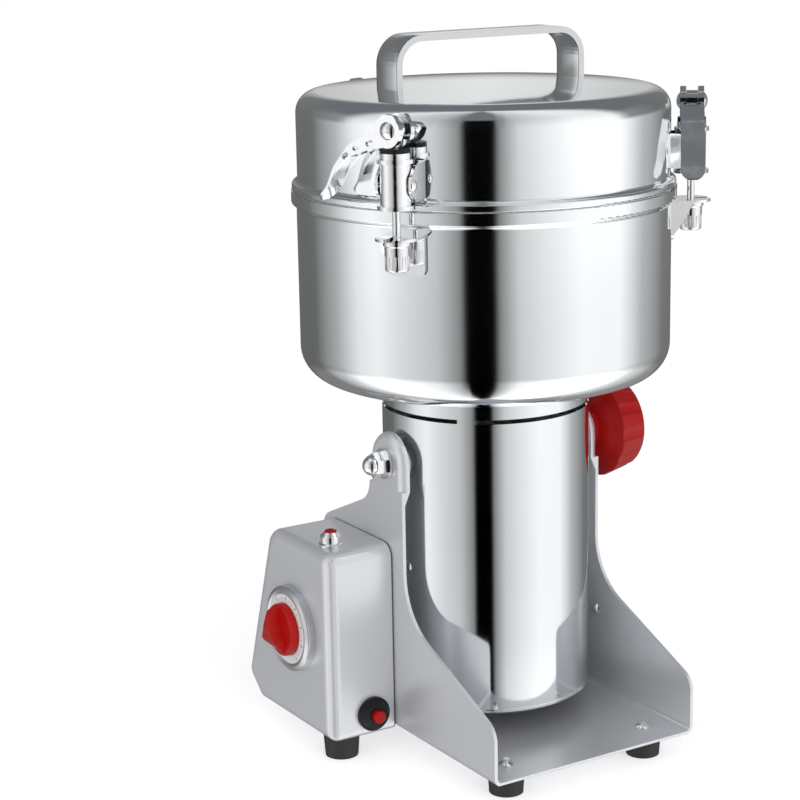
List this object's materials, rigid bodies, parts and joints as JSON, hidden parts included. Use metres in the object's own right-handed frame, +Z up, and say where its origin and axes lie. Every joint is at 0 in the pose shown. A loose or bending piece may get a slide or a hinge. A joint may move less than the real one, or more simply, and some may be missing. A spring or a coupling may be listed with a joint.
{
  "type": "electric grain mill",
  "caption": "Electric grain mill: a round lidded bowl with over-centre latches on a motor tube that tilts between the arms of a sheet cradle, with a timer box.",
  "frame": {"origin": "on the table, under the axis of the motor and bowl", "axes": "+Z up along the motor axis, +X along the tilt axis towards the clamp knob, -Y towards the open front of the cradle"},
  "size_m": [0.2539, 0.2441, 0.4195],
  "materials": {
    "silver_paint": "satin silver-grey paint on bent sheet steel",
    "black_rubber": "matt moulded rubber",
    "bright_steel": "bright polished plating",
    "cream_plastic": "plain moulded plastic",
    "printed_plate": "pale moulded plate with printed ticks",
    "red_plastic": "glossy red plastic",
    "red_lens": "clear red moulded lens",
    "black_plastic": "black moulded plastic",
    "mirror_steel": "mirror-polished stainless steel",
    "dark_steel": "dark varnished sheet steel",
    "plain_steel": "machined steel",
    "cast_alloy": "die-cast aluminium, as cast",
    "copper_wire": "varnished copper",
    "carbon": "pressed carbon",
    "pale_rubber": "soft white silicone",
    "satin_steel": "polished stainless sheet"
  },
  "bodies": {
    "cradle": {"base_bracket": "silver_paint", "rubber_feet": "black_rubber", "foot_screws": "bright_steel", "arm_screws": "bright_steel", "box_cover": "silver_paint", "timer_body": "cream_plastic", "timer_dial": "printed_plate", "lamp_bezel": "bright_steel", "lamp_lens": "red_lens", "breaker_body": "black_plastic", "reset_nut": "black_plastic", "cord_gland": "black_rubber"},
    "head": {"motor_tube": "mirror_steel", "bottom_cover": "dark_steel", "neck_ring": "mirror_steel", "pivot_bosses": "plain_steel", "pivot_stud": "plain_steel", "pivot_cap_nut": "bright_steel", "upper_end_plate": "cast_alloy", "lower_end_plate": "cast_alloy", "stator_core": "dark_steel", "stator_windings": "copper_wire", "carbon_brushes": "carbon", "ball_bearings": "plain_steel", "bowl": "mirror_steel", "bowl_screws": "bright_steel", "shaft_seal": "black_rubber", "lid": "mirror_steel", "lid_gasket": "pale_rubber", "lid_handle": "satin_steel", "lid_brackets": "satin_steel", "bracket_rivets": "bright_steel", "latch_tubes": "bright_steel", "latch_caps": "bright_steel", "latch_washers": "black_plastic", "latch_springs": "plain_steel", "latch_catches": "satin_steel"},
    "clamp": {"clamp_knob": "red_plastic", "clamp_stud": "plain_steel"},
    "spindle": {"motor_shaft": "plain_steel", "armature_core": "dark_steel", "armature_windings": "copper_wire", "commutator": "copper_wire", "cooling_fan": "black_plastic", "lower_blade": "plain_steel", "blade_spacer": "plain_steel", "upper_blade": "plain_steel", "blade_nut": "plain_steel"},
    "timer_knob": {"timer_knob": "red_plastic"},
    "reset_button": {"reset_button": "red_plastic"},
    "latch_1_rod": {"latch_rod_1": "bright_steel", "latch_nut_1": "bright_steel"},
    "latch_1_lever": {"latch_lever_1": "bright_steel"},
    "latch_2_rod": {"latch_rod_2": "bright_steel", "latch_nut_2": "bright_steel"},
    "latch_2_lever": {"latch_lever_2": "bright_steel"},
    "latch_3_rod": {"latch_rod_3": "bright_steel", "latch_nut_3": "bright_steel"},
    "latch_3_lever": {"latch_lever_3": "bright_steel"}
  },
  "joints": [
    {"name": "tilt", "type": "hinge", "parent": "cradle", "child": "head", "pos_m": [0, 0, 0.1755], "axis": [1, 0, 0], "range_deg": [0, 100]},
    {"name": "clamp_turn", "type": "hinge", "parent": "head", "child": "clamp", "pos_m": [0.085, 0, 0.1755], "axis": [1, 0, 0], "range_deg": [0, 360]},
    {"name": "spindle_spin", "type": "hinge", "parent": "head", "child": "spindle", "pos_m": [0, 0, 0.2], "axis": [0, 0, 1], "continuous": true},
    {"name": "timer_turn", "type": "hinge", "parent": "cradle", "child": "timer_knob", "pos_m": [-0.1135, 0.0355, 0.074], "axis": [-1, 0, 0], "range_deg": [0, 300]},
    {"name": "reset_press", "type": "slide", "parent": "cradle", "child": "reset_button", "axis": [0, 1, 0], "range_m": [0, 0.003], "stiffness_N_per_m": 700, "springref_m": -0.001},
    {"name": "latch_1_drop", "type": "slide", "parent": "head", "child": "latch_1_rod", "axis": [0, 0, -1], "range_m": [0, 0.0012]},
    {"name": "latch_1_turn", "type": "hinge", "parent": "latch_1_rod", "child": "latch_1_lever", "pos_m": [-0.10114, -0.06822, 0.376], "axis": [0.9272, 0.3746, 0], "range_deg": [0, 120]},
    {"name": "latch_2_drop", "type": "slide", "parent": "head", "child": "latch_2_rod", "axis": [0, 0, -1], "range_m": [0, 0.0012]},
    {"name": "latch_2_turn", "type": "hinge", "parent": "latch_2_rod", "child": "latch_2_lever", "pos_m": [0.10965, -0.05348, 0.376], "axis": [-0.788, 0.6157, 0], "range_deg": [0, 120]},
    {"name": "latch_3_drop", "type": "slide", "parent": "head", "child": "latch_3_rod", "axis": [0, 0, -1], "range_m": [0, 0.0012]},
    {"name": "latch_3_turn", "type": "hinge", "parent": "latch_3_rod", "child": "latch_3_lever", "pos_m": [-0.00851, 0.1217, 0.376], "axis": [-0.1392, -0.9903, 0], "range_deg": [0, 120]}
  ],
  "couplings": [
    {"joint": "latch_1_turn", "follows": "latch_1_drop", "rad_per_m": 1745},
    {"joint": "latch_2_turn", "follows": "latch_2_drop", "rad_per_m": 1745},
    {"joint": "latch_3_turn", "follows": "latch_3_drop", "rad_per_m": 1745}
  ]
}
